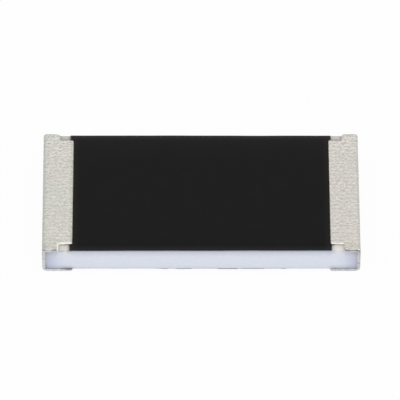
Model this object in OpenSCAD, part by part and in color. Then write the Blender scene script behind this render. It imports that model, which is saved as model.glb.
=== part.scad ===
// Thick film chip resistor for surface mounting, size 2512.
// X runs along the chip, Y across it and Z up. The origin is the middle of the underside,
// and the chip rests on its two plated ends with the black overcoat on top.

/* [Ceramic] */
// Overall length over both plated ends
chip_l = 6.35; // [5.8:0.05:7]
// Width of the ceramic and of the plated ends
chip_w = 3.2; // [2.8:0.05:3.6]
// Thickness of the ceramic alone
ceramic_t = 0.5; // [0.4:0.01:0.7]
// Bevel that the scribe line leaves along the lower long edges
scribe_bevel = 0.02; // [0.01:0.002:0.04]

/* [Plated ends] */
// Length of each end on top
top_land_l = 0.6; // [0.5:0.01:0.75]
// Length of each end underneath
bottom_land_l = 0.61; // [0.45:0.01:0.8]
// Length over which the top of each end has the full width
wrap_l = 0.32; // [0.22:0.01:0.4]
// Inset of the narrower inner part of the top from each long edge
notch_inset = 0.164; // [0.1:0.004:0.24]
// Rounding of the outer edges, seen from the side
end_round = 0.07; // [0.06:0.005:0.1]
// Rounding of the inner corners, seen from above
plan_round = 0.06; // [0.055:0.005:0.1]
// Thickness of the silver end electrode on the ceramic
end_electrode_t = 0.036; // [0.032:0.002:0.05]
// Thickness of the nickel barrier
nickel_t = 0.01; // [0.006:0.001:0.018]
// Thickness of the tin plating
tin_t = 0.018; // [0.012:0.002:0.028]

/* [Overcoat] */
// Thickness of the overcoat in its middle
overcoat_t = 0.046; // [0.04:0.002:0.056]
// Thickness of the overcoat at its outer edge
overcoat_edge_t = 0.02; // [0.016:0.001:0.026]
// Width of the slope from the outer edge up to the middle
overcoat_slope = 0.12; // [0.08:0.01:0.16]
// Strip of bare ceramic along each long edge
overcoat_margin = 0.022; // [0.01:0.002:0.05]
// Lap of each plated end over the overcoat
overcoat_lap = 0.045; // [0.03:0.005:0.065]
// How far the overcoat sits to the left of the middle
overcoat_shift = 0.012; // [0:0.002:0.02]

/* [Resistor film] */
// Thickness of the printed silver electrodes
electrode_t = 0.012; // [0.008:0.001:0.014]
// Silver of the end electrode outside the edge of each printed electrode
electrode_cover = 0.04; // [0.02:0.005:0.08]
// Thickness of the film
film_t = 0.01; // [0.006:0.001:0.012]
// Lap of the film over each top electrode
film_lap = 0.18; // [0.1:0.01:0.3]
// Distance of the film from the ends of the overcoat
film_end_gap = 0.18; // [0.16:0.01:0.3]
// Distance of the film from the long edges of the overcoat
film_side_gap = 0.3; // [0.25:0.01:0.5]
// Thickness of the glass on the film
glass_t = 0.008; // [0.005:0.001:0.01]
// Border of the glass round the film
glass_border = 0.06; // [0.03:0.01:0.1]

/* [Laser trim] */
// Width of the trim cut
kerf_w = 0.05; // [0.03:0.01:0.08]
// Reach of the cut across the film, from its front edge
kerf_reach = 1.1; // [0.6:0.05:1.6]
// Length of the turn of the cut along the film
kerf_turn = 0.5; // [0.2:0.05:0.8]
// Place of the cut along the chip, from the middle
kerf_x = -0.6; // [-1:0.05:0]

/* [Hidden] */
$fn = 64;

// Depth of each layer's outer face below the outside of the tin
nickel_depth = tin_t;
silver_depth = tin_t + nickel_t;
ceramic_depth = tin_t + nickel_t + end_electrode_t;

// Levels and outlines that several layers share
ceramic_l = chip_l - 2 * ceramic_depth;
ceramic_z = ceramic_depth;
deck_z = ceramic_z + ceramic_t;
chip_h = deck_z + ceramic_depth;
end_x = -chip_l / 2;
overcoat_half_l = chip_l / 2 - top_land_l + overcoat_lap;
overcoat_half_w = chip_w / 2 - overcoat_margin;
film_half_l = overcoat_half_l - film_end_gap;
film_half_w = overcoat_half_w - film_side_gap;
film_step_t = electrode_t + film_t;
glass_half_l = film_half_l + glass_border;
glass_half_w = film_half_w + glass_border;
top_electrode_tip = film_half_l - film_lap;
top_electrode_half_w = chip_w / 2 - notch_inset - silver_depth - electrode_cover;
bottom_electrode_tip = chip_l / 2 - bottom_land_l + silver_depth + electrode_cover;
bottom_electrode_half_w = chip_w / 2 - silver_depth - electrode_cover;

// What is drawn for the left end, turned over to the other end when side is "right"
module at_end(side) {
    mirror([side == "right" ? 1 : 0, 0, 0]) children();
}

// Block from x = from to x = to, centred on Y, standing on the level z
module slab(from, to, half_w, z, t) {
    translate([from, -half_w, z]) cube([to - from, 2 * half_w, t]);
}

// Flat tab that starts at x = from and has two round corners at x = to
module tab(from, to, half_w, r) {
    translate([from, -half_w]) square([to - from - r, 2 * half_w]);
    translate([from, -half_w + r]) square([to - from, 2 * (half_w - r)]);
    for (y = [-1, 1]) translate([to - r, y * (half_w - r)]) circle(r);
}

// Side view of the left end, with its two outer corners round, out to the middle of the chip
module end_profile(depth) {
    r = end_round - depth;
    near = end_x + depth;
    translate([near, depth + r]) square([-near, chip_h - 2 * (depth + r)]);
    translate([near + r, depth]) square([-near - r, chip_h - 2 * depth]);
    for (z = [depth + r, chip_h - depth - r]) translate([near + r, z]) circle(r);
}

// Everything of the left end that lies within one outer face, with the core still inside it
module end_envelope(depth) {
    near = end_x + depth;
    r = plan_round - depth;
    full_half_w = chip_w / 2 - depth;
    intersection() {
        rotate([90, 0, 0]) linear_extrude(2 * chip_w, center = true) end_profile(depth);
        union() {
            translate([0, 0, chip_h / 2]) linear_extrude(chip_h) {
                tab(near, end_x + wrap_l - depth, full_half_w, r);
                tab(near, end_x + top_land_l - depth, full_half_w - notch_inset, r);
            }
            translate([0, 0, -chip_h / 2]) linear_extrude(chip_h)
                tab(near, end_x + bottom_land_l - depth, full_half_w, r);
        }
    }
}

// Ceramic plate before its edges are bevelled
module ceramic_block() {
    slab(-ceramic_l / 2, ceramic_l / 2, chip_w / 2, ceramic_z, ceramic_t);
}

// Wedge that the scribe line takes off one lower long edge
module scribe_wedge() {
    rotate([90, 0, 90]) linear_extrude(2 * chip_l, center = true) polygon([
        [chip_w / 2 - scribe_bevel, ceramic_z],
        [chip_w / 2 + scribe_bevel, ceramic_z - scribe_bevel],
        [chip_w / 2 + scribe_bevel, ceramic_z + 2 * scribe_bevel]
    ]);
}

module ceramic_substrate() {
    color("#d8dde6") difference() {
        ceramic_block();
        scribe_wedge();
        mirror([0, 1, 0]) scribe_wedge();
    }
}

module top_electrode(side) {
    color("#c9c6bf") at_end(side)
        slab(-ceramic_l / 2, -top_electrode_tip, top_electrode_half_w, deck_z, electrode_t);
}

module bottom_electrode(side) {
    level = ceramic_z - electrode_t;
    color("#c9c6bf") at_end(side)
        slab(-ceramic_l / 2, -bottom_electrode_tip, bottom_electrode_half_w, level, electrode_t);
}

module printed_electrodes() {
    for (side = ["left", "right"]) {
        top_electrode(side);
        bottom_electrode(side);
    }
}

// A printed layer over the gap between the top electrodes, stepped up where it laps over them
module stepped_layer(half_l, half_w, t) {
    slab(-half_l, half_l, half_w, deck_z, t);
    for (side = ["left", "right"]) at_end(side)
        slab(-half_l, -top_electrode_tip + t, half_w, deck_z, electrode_t + t);
}

// Trim cut: straight in from the front edge of the film, then a turn along it
module trim_cut() {
    cut_h = 2 * (film_step_t + glass_t);
    front_y = -glass_half_w - kerf_w;
    turn_y = -film_half_w + kerf_reach;
    translate([kerf_x - kerf_w / 2, front_y, deck_z]) cube([kerf_w, turn_y - front_y, cut_h]);
    translate([kerf_x - kerf_w / 2, turn_y - kerf_w, deck_z]) cube([kerf_turn, kerf_w, cut_h]);
}

module resistive_element() {
    color("#2c3a34") difference() {
        stepped_layer(film_half_l, film_half_w, film_t);
        printed_electrodes();
        trim_cut();
    }
}

module glass_passivation() {
    color("#5d7a5a") difference() {
        stepped_layer(glass_half_l, glass_half_w, film_t + glass_t);
        stepped_layer(film_half_l, film_half_w, film_t);
        printed_electrodes();
        trim_cut();
    }
}

// Outline of the overcoat across one of its directions: an upright edge, a slope and a flat top
module overcoat_section(half) {
    polygon([
        [-half, 0],
        [half, 0],
        [half, overcoat_edge_t],
        [half - overcoat_slope, overcoat_t],
        [-half + overcoat_slope, overcoat_t],
        [-half, overcoat_edge_t]
    ]);
}

// The overcoat with the film and the glass still inside it
module overcoat_body() {
    translate([-overcoat_shift, 0, deck_z]) intersection() {
        rotate([90, 0, 0]) linear_extrude(2 * chip_w, center = true) overcoat_section(overcoat_half_l);
        rotate([90, 0, 90]) linear_extrude(2 * chip_l, center = true) overcoat_section(overcoat_half_w);
    }
}

module overcoat() {
    color("#202020") difference() {
        overcoat_body();
        printed_electrodes();
        difference() {
            stepped_layer(glass_half_l, glass_half_w, film_t + glass_t);
            trim_cut();
        }
    }
}

// What the layers of an end wrap round
module chip_core() {
    ceramic_block();
    overcoat_body();
    printed_electrodes();
}

module end_electrode(side) {
    color("#b9b6ae") difference() {
        at_end(side) end_envelope(silver_depth);
        chip_core();
    }
}

module nickel_barrier(side) {
    color("#a9a499") difference() {
        at_end(side) end_envelope(nickel_depth);
        at_end(side) end_envelope(silver_depth);
        chip_core();
    }
}

module tin_plating(side) {
    color("#cfcec6") difference() {
        at_end(side) end_envelope(0);
        at_end(side) end_envelope(nickel_depth);
        chip_core();
    }
}

ceramic_substrate();
resistive_element();
glass_passivation();
overcoat();
top_electrode("left");  // top_electrode_left
top_electrode("right");  // top_electrode_right
bottom_electrode("left");  // bottom_electrode_left
bottom_electrode("right");  // bottom_electrode_right
end_electrode("left");  // end_electrode_left
end_electrode("right");  // end_electrode_right
nickel_barrier("left");  // nickel_barrier_left
nickel_barrier("right");  // nickel_barrier_right
tin_plating("left");  // tin_plating_left
tin_plating("right");  // tin_plating_right
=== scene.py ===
# %% [markdown]
# # A chip resistor, dressed for a close look
#
# The part is a flat resistor for surface mounting, 6.35 mm long. It is a white ceramic plate with a black
# coat on top and a cap of matt tin on each end. The solid model gives every layer its place. This lesson
# dresses the three layers that show: the tin, the black coat and the ceramic. The layers under them keep
# their solids and only get their finishes.

# %% Load the solid model as the frame
import math

import bmesh
import bpy
from mathutils import Matrix, Vector


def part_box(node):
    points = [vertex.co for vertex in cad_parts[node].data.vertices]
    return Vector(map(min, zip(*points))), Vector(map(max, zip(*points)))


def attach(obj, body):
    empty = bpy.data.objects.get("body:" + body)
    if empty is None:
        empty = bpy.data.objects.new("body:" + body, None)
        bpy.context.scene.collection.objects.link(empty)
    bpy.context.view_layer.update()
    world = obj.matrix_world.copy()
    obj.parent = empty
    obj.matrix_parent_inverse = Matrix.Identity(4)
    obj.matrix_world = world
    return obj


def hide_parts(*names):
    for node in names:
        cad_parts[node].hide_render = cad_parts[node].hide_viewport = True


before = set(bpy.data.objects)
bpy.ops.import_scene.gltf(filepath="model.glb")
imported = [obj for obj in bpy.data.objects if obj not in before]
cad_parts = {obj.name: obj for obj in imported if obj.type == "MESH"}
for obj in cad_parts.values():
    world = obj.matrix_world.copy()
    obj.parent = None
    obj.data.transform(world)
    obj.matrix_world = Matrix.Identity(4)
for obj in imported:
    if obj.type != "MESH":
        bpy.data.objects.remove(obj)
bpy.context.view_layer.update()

print("nodes of the frame:", sorted(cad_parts))

# %% [markdown]
# ## A bench a thousand times larger
#
# Several tools, such as Merge and Remesh, have fixed smallest distances that are too coarse for a part of
# a few millimetres. So each piece is modelled on a large bench, where one metre stands for one
# millimetre, and is shrunk in place when it is finished. All sizes below can then be read as millimetres.

# %% Helpers for the bench
BENCH = 1000.0


def let_go():
    """Leaves edit mode with nothing selected."""
    if bpy.context.mode != "OBJECT":
        bpy.ops.object.mode_set(mode="OBJECT")
    bpy.ops.object.select_all(action="DESELECT")


def take(piece):
    """Makes one piece the only selected and active one."""
    let_go()
    piece.select_set(True)
    bpy.context.view_layer.objects.active = piece


def edit(piece):
    """Opens one piece for editing with all of it selected."""
    take(piece)
    bpy.ops.object.mode_set(mode="EDIT")
    bpy.ops.mesh.select_all(action="SELECT")


def fix_place(piece):
    """Writes the place and the size of a piece into its mesh."""
    take(piece)
    bpy.ops.object.transform_apply(location=True, rotation=True, scale=True)


def node_box(name):
    """Corners of a node of the frame, in bench units."""
    low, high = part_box(name)
    return low * BENCH, high * BENCH


let_go()
print("bench scale:", BENCH)

# %% [markdown]
# By hand, one clicks on corners and edges to select them. A script picks them by a test on their place
# instead, so that the same lines still find them after a size has changed.

# %% Helpers that start a shape and pick its corners and edges
def start_sheet(name, low, high, level):
    """A flat rectangle from low to high in X and Y, at one level."""
    let_go()
    middle = ((low[0] + high[0]) / 2, (low[1] + high[1]) / 2, level)
    spread = (high[0] - low[0], high[1] - low[1], 1.0)
    bpy.ops.mesh.primitive_plane_add(size=1.0, location=middle)
    sheet = bpy.context.object
    sheet.name = name
    sheet.scale = spread
    fix_place(sheet)
    return sheet


def start_block(name, low, high):
    """A block from one corner to the other."""
    let_go()
    middle = [(a + b) / 2 for a, b in zip(low, high)]
    spread = [b - a for a, b in zip(low, high)]
    bpy.ops.mesh.primitive_cube_add(size=1.0, location=middle, scale=spread)
    block = bpy.context.object
    block.name = name
    fix_place(block)
    return block


def middle_of(item):
    """Middle of a corner or an edge."""
    if isinstance(item, bmesh.types.BMVert):
        return item.co
    return (item.verts[0].co + item.verts[1].co) / 2


def pick(kind, test):
    """In edit mode, selects the corners or the edges that pass a test, and says how many they are."""
    bpy.ops.mesh.select_mode(type=kind)
    bpy.ops.mesh.select_all(action="DESELECT")
    mesh = bpy.context.object.data
    shape = bmesh.from_edit_mesh(mesh)
    items = {"VERT": shape.verts, "EDGE": shape.edges}[kind]
    found = [item for item in items if test(item)]
    for item in found:
        item.select_set(True)
    shape.select_flush_mode()
    bmesh.update_edit_mesh(mesh)
    return len(found)


def near(a, b, reach=1e-3):
    """True where two lengths agree."""
    return abs(a - b) < reach


def lies_at(far_y=None, **place):
    """A test for a corner or an edge whose middle has the given X, Y or Z, or lies so far out in Y."""
    def test(item):
        middle = middle_of(item)
        fits = all(near(getattr(middle, axis), at) for axis, at in place.items())
        return fits and (far_y is None or near(abs(middle.y), far_y))
    return test


# %% [markdown]
# Three steps come back often: to cut a line of edges through a shape, to extrude what is selected, and to
# round some edges. Each of these helpers only calls the operator that one would use by hand.

# %% Helpers that shape what is picked
def slice_at(point, direction):
    """In edit mode, cuts a line of edges through all of the shape."""
    bpy.ops.mesh.select_all(action="SELECT")
    bpy.ops.mesh.bisect(plane_co=point, plane_no=direction)


def extrude(shift):
    """In edit mode, extrudes what is selected."""
    bpy.ops.mesh.extrude_region_move(TRANSFORM_OT_translate={"value": shift})


def round_edges(radius, steps, test):
    """In edit mode, bevels the edges that pass a test."""
    pick("EDGE", test)
    bpy.ops.mesh.bevel(offset=radius, segments=steps, affect="EDGES")


# %% [markdown]
# A shape is finished with modifiers, which are applied at once. The Boolean's Manifold solver is quick
# and leaves a closed mesh, as long as the shape and the tool are closed too. So each of them is.

# %% Helpers that finish a shape
def cut_away(piece, tool, keep_tool=False):
    """Takes the tool's shape out of a piece."""
    take(piece)
    cut = piece.modifiers.new("cut", "BOOLEAN")
    cut.operation = "DIFFERENCE"
    cut.solver = "MANIFOLD"
    cut.object = tool
    bpy.ops.object.modifier_apply(modifier=cut.name)
    if not keep_tool:
        bpy.data.objects.remove(tool)


def copy_of(piece, name):
    """A copy with a mesh of its own."""
    twin = piece.copy()
    twin.data = piece.data.copy()
    twin.name = name
    bpy.context.scene.collection.objects.link(twin)
    return twin


def triangles(piece):
    """Number of triangles in a piece."""
    return sum(len(face.vertices) - 2 for face in piece.data.polygons)


def to_real_size(piece):
    """Shrinks a finished piece from the bench to its real size."""
    take(piece)
    bpy.ops.transform.resize(value=(1 / BENCH, 1 / BENCH, 1 / BENCH), center_override=(0, 0, 0))
    fix_place(piece)
    print(piece.name, "has", triangles(piece), "triangles")


# %% [markdown]
# ## Where the layers lie
#
# The frame knows each layer's box. The ceramic, the coat and the two caps are read from it, so that the
# dressed pieces sit exactly where the solids are.

# %% Read the levels from the frame
ceramic_low, ceramic_high = node_box("ceramic_substrate")
coat_low, coat_high = node_box("overcoat")
_, left_high = node_box("tin_plating_left")
_, right_high = node_box("tin_plating_right")
END_X = right_high.x
HALF_W = right_high.y
TOP_Z = right_high.z
DECK_Z = ceramic_high.z
print("deck of the ceramic", round(DECK_Z, 3), "top of the caps", round(TOP_Z, 3))

# %% [markdown]
# ## The black coat
#
# The real coat is epoxy that is printed through a screen and cured. The paste slumps, so its edge stands
# up steeply for a moment and then climbs in a long flat curve. A block with a bevel would give one even
# chamfer. Here a flat sheet is pulled up and inset ring by ring, so that the curve of the edge is real.

# %% Size of the print
COAT_FRONT_GAP = 0.033
COAT_BACK_GAP = 0.0058
COAT_FRONT = -HALF_W + COAT_FRONT_GAP
COAT_BACK = HALF_W - COAT_BACK_GAP
COAT_LEFT = coat_low.x
COAT_RIGHT = coat_high.x
print("print covers", round(COAT_RIGHT - COAT_LEFT, 3), "by", round(COAT_BACK - COAT_FRONT, 3), "mm")

# %% [markdown]
# A printed edge is never quite straight: the screen and the flow of the paste let it wander by a few
# micrometres. A noise could move it, but a few listed places are easier to control. So the corners are
# pulled off the square, the long edges are divided, and proportional editing moves some of their points
# in or out. The last bit at each end stays undivided, because the rings that follow would fold there.

# %% Lay the print down as a flat sheet
# How far the print ran off the square at each corner, in X and Y
COAT_CORNER_SHIFTS = {
    (-1, -1): (0.0, -0.004),
    (1, -1): (-0.010, 0.004),
    (-1, 1): (0.0, 0.001),
    (1, 1): (0.020, -0.002),
}
COAT_END_L = 0.30
COAT_STEPS = 24
LONG_EDGE_L = 1.0
# Where the print's long edges wander: the side, the place along X, the shift and how far it reaches
COAT_WANDERS = (
    (1, -2.30, -0.0016, 0.30),
    (1, -1.45, 0.0012, 0.30),
    (1, -0.65, 0.0027, 0.60),
    (1, 1.18, -0.0042, 0.60),
    (1, 2.30, -0.0018, 0.30),
    (-1, -2.20, -0.0016, 0.35),
    (-1, -1.35, 0.0024, 0.40),
    (-1, -0.65, 0.0016, 0.30),
    (-1, -0.10, -0.0020, 0.30),
    (-1, 0.45, -0.0016, 0.25),
    (-1, 0.95, 0.0026, 0.45),
    (-1, 1.80, -0.0018, 0.45),
)
coat = start_sheet("overcoat_print", (COAT_LEFT, COAT_FRONT), (COAT_RIGHT, COAT_BACK), DECK_Z)
edit(coat)
for (end, side), (shift_x, shift_y) in COAT_CORNER_SHIFTS.items():
    pick("VERT", lambda v: v.co.x * end > 0 and v.co.y * side > 0)
    bpy.ops.transform.translate(value=(shift_x, shift_y, 0))
for x in (COAT_LEFT + COAT_END_L, COAT_RIGHT - COAT_END_L):
    slice_at((x, 0, 0), (1, 0, 0))
pick("EDGE", lambda e: abs(e.verts[0].co.x - e.verts[1].co.x) > LONG_EDGE_L)
bpy.ops.mesh.subdivide(number_cuts=COAT_STEPS - 1)
half_step = (COAT_RIGHT - COAT_LEFT - 2 * COAT_END_L) / COAT_STEPS / 2
for side, x, shift, reach in COAT_WANDERS:
    pick("VERT", lambda v: near(v.co.x, x, half_step) and v.co.y * side > 0)
    bpy.ops.transform.translate(value=(0, shift, 0), use_proportional_edit=True, proportional_size=reach)
print("long edges divided into", COAT_STEPS, "steps and moved at", len(COAT_WANDERS), "places")

# %% Raise its edge ring by ring, and round the corners
# Each ring of the edge: how far it lies inside the last one, and its height above the deck
COAT_RINGS = (
    (0.000, 0.0160),
    (0.002, 0.0215),
    (0.004, 0.0255),
    (0.014, 0.0297),
    (0.025, 0.0352),
    (0.028, 0.0394),
    (0.037, 0.0431),
    (0.050, 0.0453),
    (0.080, 0.0460),
)
COAT_CORNER = 0.012
RIDGE_L = 0.1
RIDGE_RISE = 1e-5
UPRIGHT = 1e-4
CORNER_REACH = 0.06


def is_ridge(edge):
    """True for an edge of the coat that climbs a corner, upright or on the slant."""
    step = edge.verts[0].co - edge.verts[1].co
    short, long = sorted((abs(step.x), abs(step.y)))
    climbs = long < RIDGE_L and abs(step.z) > RIDGE_RISE
    slants = long > UPRIGHT and short > 0.8 * long
    upright = long <= UPRIGHT and abs(middle_of(edge).x) > COAT_RIGHT - CORNER_REACH
    return climbs and (slants or upright)


climbed = 0.0
for inward, height in COAT_RINGS:
    bpy.ops.mesh.select_mode(type="FACE")
    if inward == 0.0:
        bpy.ops.mesh.select_all(action="SELECT")
        extrude((0, 0, height))
    else:
        bpy.ops.mesh.inset(thickness=inward, depth=0.0)
        bpy.ops.transform.translate(value=(0, 0, height - climbed))
    climbed = height
ridges = pick("EDGE", is_ridge)
bpy.ops.mesh.bevel(offset=COAT_CORNER, segments=4, affect="EDGES", clamp_overlap=False)
bpy.ops.mesh.select_all(action="SELECT")
bpy.ops.mesh.normals_make_consistent(inside=False)
let_go()
coat_blank = copy_of(coat, "coat_blank")
print("coat stands", round(climbed, 3), "mm above the deck, with", ridges, "ridge edges rounded")

# %% [markdown]
# Under the coat lie the film, its glass and the inner ends of the silver strips. Their solids stay in the
# frame, so blocks of the same sizes are cut out of the coat's underside. No two layers then fill the same
# space.

# %% Make room under the coat for the film, the glass and the silver
FILM_AND_GLASS_T = 0.018
COAT_SMOOTH = math.radians(50)
glass_low, glass_high = node_box("glass_passivation")
strip_low, strip_high = node_box("top_electrode_left")
BELOW = DECK_Z - 0.05
GLASS_FLAT_Z = DECK_Z + FILM_AND_GLASS_T
STEP_X = abs(strip_high.x) - FILM_AND_GLASS_T
rooms = [
    ((glass_low.x, glass_low.y, BELOW), (glass_high.x, glass_high.y, GLASS_FLAT_Z)),
    ((glass_low.x, glass_low.y, BELOW), (-STEP_X, glass_high.y, glass_high.z)),
    ((STEP_X, glass_low.y, BELOW), (glass_high.x, glass_high.y, glass_high.z)),
    ((strip_low.x, strip_low.y, BELOW), strip_high),
    ((-strip_high.x, strip_low.y, BELOW), (-strip_low.x, strip_high.y, strip_high.z)),
]
for low, high in rooms:
    cut_away(coat, start_block("room", low, high))
take(coat)
bpy.ops.object.shade_smooth_by_angle(angle=COAT_SMOOTH)
to_real_size(coat)
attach(coat, "root")
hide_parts("overcoat")

# %% [markdown]
# ## The tin caps
#
# Each cap is a skin of tin, 18 micrometres thick, over nickel and silver. From above it is a T: a bar of
# the full width at the end, and a narrower tongue that laps onto the black coat. Underneath it is a plain
# pad. It grew in a plating bath, so its edges are soft and its face is full of fine grains. One could
# carve it from a block, but it is easier to build the T and the pad apart, melt them together with a
# voxel remesh, and hollow the result.

# %% Sizes of the caps, measured at each corner
NOTCH_DEPTH = 0.164
TONGUE_HALF_W = HALF_W - NOTCH_DEPTH
TIN_T = 0.018
# For each end: X of the bar's and the tongue's inner edges at the front and the back, the corner radii, the
# rounding of the rim, and the levels of the slot under it
LEFT_PLAN = {
    "side": -1,
    "bar_front": 2.848, "bar_back": 2.834,
    "tongue_front": 2.565, "tongue_back_shade": 2.559,
    "fillet_front": 0.068, "fillet_back": 0.030,
    "tip_front": 0.018, "tip_back": 0.045,
    "shoulder_front": 0.008, "shoulder_back": 0.090, "shoulder_stretch": (1.7, 0.6),
    "outer_front": 0.008, "outer_back": 0.072,
    "foot": 0.100, "rim": 0.036, "slot": (0.596, 0.620), "slot_lift": 0.008,
}
RIGHT_PLAN = {
    "side": 1,
    "bar_front": 2.843, "bar_back": 2.840,
    "tongue_front": 2.575, "tongue_back_shade": 2.575,
    "fillet_front": 0.012, "fillet_back": 0.025,
    "tip_front": 0.012, "tip_back": 0.015,
    "shoulder_front": 0.080, "shoulder_back": 0.065, "shoulder_stretch": (1.0, 1.0),
    "outer_front": 0.008, "outer_back": 0.070,
    "foot": 0.104, "rim": 0.021, "slot": (0.585, 0.609), "slot_lift": 0.0,
}
print("tongue", round(2 * TONGUE_HALF_W, 3), "mm wide, skin", TIN_T, "mm thick")

# %% [markdown]
# The T is drawn flat first. Its bar is a rectangle, the middle of the bar's edge is extruded to the
# tongue, and each corner then gets a radius of its own, because the bath and the snapping left no two of
# them alike. The same drawing, made smaller by the thickness of the skin, gives the core that hollows the
# cap.

# %% Helpers for the flat T
def pull_corners(test, shift):
    """Moves the corners that pass the test along X."""
    pick("VERT", test)
    bpy.ops.transform.translate(value=(shift, 0, 0))


def round_corner(x, y, radius):
    """Rounds one corner of the flat outline."""
    pick("VERT", lies_at(x=x, y=y))
    bpy.ops.mesh.bevel(offset=radius, segments=5, affect="VERTICES")


# %% Draw the T flat
BAR_BASE = 0.30
JUST_OVER = 1.05


def flat_t(name, plan, depth):
    """The outline of one cap from above, as a flat face at mid height. It stays open for editing."""
    side = plan["side"]
    end = side * (END_X - depth)
    half_w = HALF_W - depth
    tongue_half_w = TONGUE_HALF_W - depth
    bar = side * (plan["bar_front"] + depth)
    tongue = side * (plan["tongue_front"] + depth)
    outline = start_sheet(name, (min(end, bar), -half_w), (max(end, bar), half_w), BAR_BASE)
    edit(outline)
    for y in (-tongue_half_w, tongue_half_w):
        slice_at((0, y, 0), (0, 1, 0))
    pick("EDGE", lies_at(x=bar, y=0.0))
    extrude((tongue - bar, 0, 0))
    bpy.ops.mesh.select_all(action="SELECT")
    bpy.ops.mesh.dissolve_faces()
    bar_shift = side * (plan["bar_back"] - plan["bar_front"])
    tongue_shift = side * (plan["tongue_back_shade"] - plan["tongue_front"])
    pull_corners(lambda v: near(v.co.x, bar) and v.co.y > 0, bar_shift)
    pull_corners(lambda v: near(v.co.x, tongue) and v.co.y > 0, tongue_shift)
    round_corner(bar, -tongue_half_w, plan["fillet_front"])
    round_corner(bar + bar_shift, tongue_half_w, plan["fillet_back"])
    round_corner(tongue, -tongue_half_w, plan["tip_front"])
    round_corner(tongue + tongue_shift, tongue_half_w, plan["tip_back"])
    round_corner(bar, -half_w, plan["shoulder_front"])
    round_corner(bar + bar_shift, half_w, plan["shoulder_back"])
    shoulder = Vector((bar + bar_shift, half_w, BAR_BASE))
    pick("VERT", lambda v: (v.co - shoulder).length < JUST_OVER * plan["shoulder_back"])
    bpy.ops.transform.resize(value=(*plan["shoulder_stretch"], 1.0), center_override=shoulder)
    round_corner(end, -half_w, plan["outer_front"])
    round_corner(end, half_w, plan["outer_back"])
    return outline


# %% [markdown]
# The flat T is extruded to the top of the cap. Then its rims are bevelled: with a small radius where they
# face the notches and the coat, and with a larger one over the end.

# %% Raise the T to a block
END_ROUND = 0.075
FOOT_SHRINK = 0.1
RIM_OFF_SIDE = 0.06
RIM_OFF_END = 0.2


def is_notch_rim(edge, end):
    """True for an edge of the top that faces a notch or the coat."""
    middle = middle_of(edge)
    level = near(edge.verts[0].co.z, TOP_Z) and near(edge.verts[1].co.z, TOP_Z)
    return level and abs(middle.y) < HALF_W - RIM_OFF_SIDE and abs(middle.x - end) > RIM_OFF_END


def cap_top(name, plan, depth):
    """The T of one cap, as a block that stands from mid height up to the top."""
    end = plan["side"] * (END_X - depth)
    half_w = HALF_W - depth
    top_z = TOP_Z - depth
    top = flat_t(name, plan, depth)
    bpy.ops.mesh.select_mode(type="FACE")
    bpy.ops.mesh.select_all(action="SELECT")
    extrude((0, 0, top_z - BAR_BASE))
    bpy.ops.mesh.select_all(action="SELECT")
    bpy.ops.mesh.normals_make_consistent(inside=False)
    corner = Vector((end, half_w, BAR_BASE))
    pick("VERT", lambda v: (v.co - corner).length < JUST_OVER * plan["outer_back"])
    bpy.ops.transform.resize(value=(FOOT_SHRINK, FOOT_SHRINK, 1.0), center_override=corner)
    if depth == 0.0:
        round_edges(plan["rim"], 4, lambda e: is_notch_rim(e, end))
    round_edges(END_ROUND - depth, 6, lies_at(x=end, z=top_z))
    let_go()
    return top


# %% [markdown]
# The pad is what gets soldered. It is plain, so a block is enough, with a round foot at its outer end and
# a small radius at its inner corners.

# %% Make the pad below as a block
PAD_X = -left_high.x
PAD_TOP = 0.34
PAD_ROUND = 0.05


def cap_pad(name, plan, depth):
    """The pad of one cap, as a block from the underside up to mid height."""
    side = plan["side"]
    end = side * (END_X - depth)
    tip = side * (PAD_X + depth)
    low = (min(end, tip), -HALF_W + depth, depth)
    high = (max(end, tip), HALF_W - depth, PAD_TOP)
    pad = start_block(name, low, high)
    edit(pad)
    round_edges(plan["foot"] - depth, 6, lies_at(x=end, z=depth))
    round_edges(PAD_ROUND - depth, 4, lies_at(x=tip, far_y=HALF_W - depth))
    let_go()
    return pad


# %% [markdown]
# Two blocks that overlap aren't one skin yet. A voxel remesh melts them together and rounds each edge a
# little, as plating does. Two cloud textures then sink the skin: a broad one for its swell and a fine one
# for its grain.

# %% Helpers that melt and grain a cap
VOXEL = 0.0115
GRAIN_DEPTH = 0.0016
GRAIN_SIZE = 0.035
SWELL_SIZE = 0.16


def clouds(name, size, detail):
    """A cloud texture with blots of one size and finer ones in them."""
    texture = bpy.data.textures.new(name, "CLOUDS")
    texture.noise_scale = size
    texture.noise_depth = detail
    return texture


grain = clouds("tin_grain", GRAIN_SIZE, 1)
swell = clouds("tin_swell", SWELL_SIZE, 1)


def melt(piece, other):
    """Joins two blocks and melts them into one skin."""
    take(piece)
    other.select_set(True)
    bpy.ops.object.join()
    remesh = piece.modifiers.new("melt", "REMESH")
    remesh.mode = "VOXEL"
    remesh.voxel_size = VOXEL
    bpy.ops.object.modifier_apply(modifier=remesh.name)
    smooth = piece.modifiers.new("soften", "SMOOTH")
    smooth.factor = 0.5
    smooth.iterations = 2
    bpy.ops.object.modifier_apply(modifier=smooth.name)


def roughen(piece, texture, depth, level=1.0, group=""):
    """Sinks the skin by a texture, so that it stays inside the frame. A group limits it to some corners."""
    take(piece)
    push = piece.modifiers.new("roughen", "DISPLACE")
    push.texture = texture
    push.texture_coords = "LOCAL"
    push.vertex_group = group
    push.mid_level = level
    push.strength = depth
    bpy.ops.object.modifier_apply(modifier=push.name)


# %% [markdown]
# The bars were one long strip until the chips were snapped apart. So along the front and the back of each
# bar the plating is torn: a thin dark slot runs under its top edge. It is cut last, with a ragged bar as
# the tool, because a smooth one would leave a clean groove.

# %% Helper for the torn slot
SLOT_DEPTH = 0.017
SLOT_RAGGED = 0.012
SNAG_SIZE = 0.06
BAR_STEP = 0.03
snag = clouds("snag", SNAG_SIZE, 2)


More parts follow.
